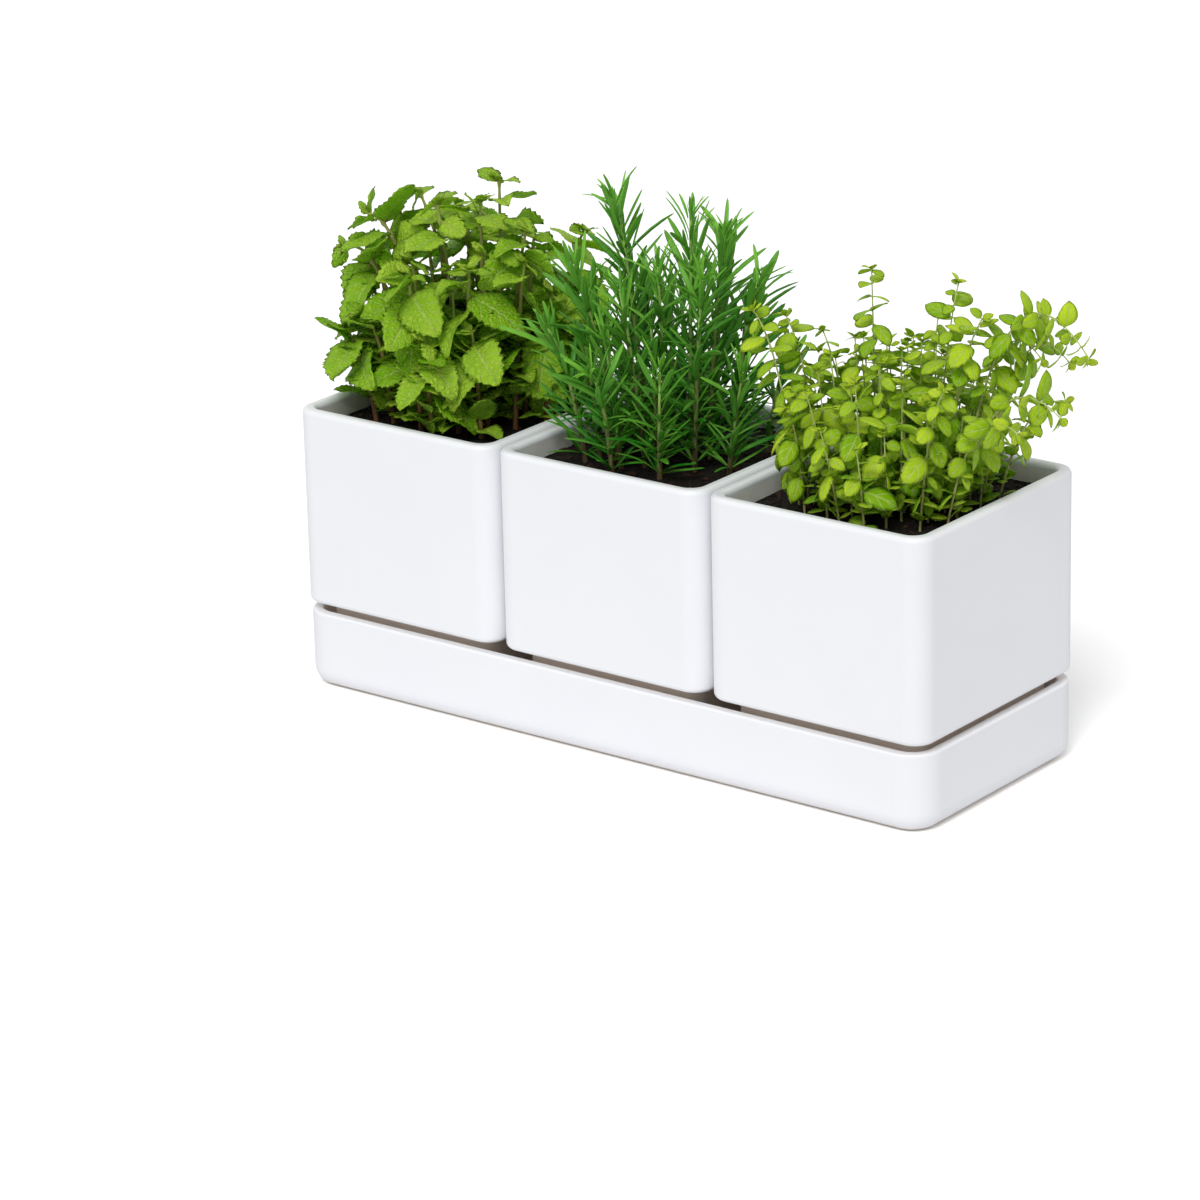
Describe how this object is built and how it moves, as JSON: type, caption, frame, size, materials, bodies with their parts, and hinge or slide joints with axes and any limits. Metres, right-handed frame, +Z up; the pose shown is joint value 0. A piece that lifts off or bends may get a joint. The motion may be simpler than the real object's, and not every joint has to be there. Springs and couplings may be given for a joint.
{
  "type": "indoor herb planter",
  "caption": "Indoor herb planter: square pots of mint, rosemary and oregano standing in a long white drip tray; the pots and the root balls lift out.",
  "frame": {"origin": "middle of the tray's flat underside, on the surface it stands on", "axes": "+X along the row of pots from the mint to the oregano, -Y towards the front, +Z up"},
  "size_m": [0.3819, 0.135, 0.2456],
  "materials": {
    "white_glaze": "satin",
    "potting_soil": "matte",
    "mint_stem": "matte",
    "mint_leaf": "satin",
    "rosemary_stem": "matte",
    "rosemary_needle": "satin",
    "oregano_stem": "matte",
    "oregano_leaf": "satin"
  },
  "bodies": {
    "tray": {"tray": "white_glaze"},
    "left_pot": {"left_pot": "white_glaze"},
    "middle_pot": {"middle_pot": "white_glaze"},
    "right_pot": {"right_pot": "white_glaze"},
    "mint": {"mint_root_ball": "potting_soil", "mint_stems": "mint_stem", "mint_leaves": "mint_leaf"},
    "rosemary": {"rosemary_root_ball": "potting_soil", "rosemary_stems": "rosemary_stem", "rosemary_needles": "rosemary_needle"},
    "oregano": {"oregano_root_ball": "potting_soil", "oregano_stems": "oregano_stem", "oregano_leaves": "oregano_leaf"}
  },
  "joints": [
    {"name": "left_pot_lift", "type": "slide", "parent": "tray", "child": "left_pot", "axis": [0, 0, 1], "range_m": [0, 0.13]},
    {"name": "middle_pot_lift", "type": "slide", "parent": "tray", "child": "middle_pot", "axis": [0, 0, 1], "range_m": [0, 0.13]},
    {"name": "right_pot_lift", "type": "slide", "parent": "tray", "child": "right_pot", "axis": [0, 0, 1], "range_m": [0, 0.13]},
    {"name": "mint_lift", "type": "slide", "parent": "left_pot", "child": "mint", "axis": [0, 0, 1], "range_m": [0, 0.125]},
    {"name": "rosemary_lift", "type": "slide", "parent": "middle_pot", "child": "rosemary", "axis": [0, 0, 1], "range_m": [0, 0.125]},
    {"name": "oregano_lift", "type": "slide", "parent": "right_pot", "child": "oregano", "axis": [0, 0, 1], "range_m": [0, 0.125]}
  ]
}
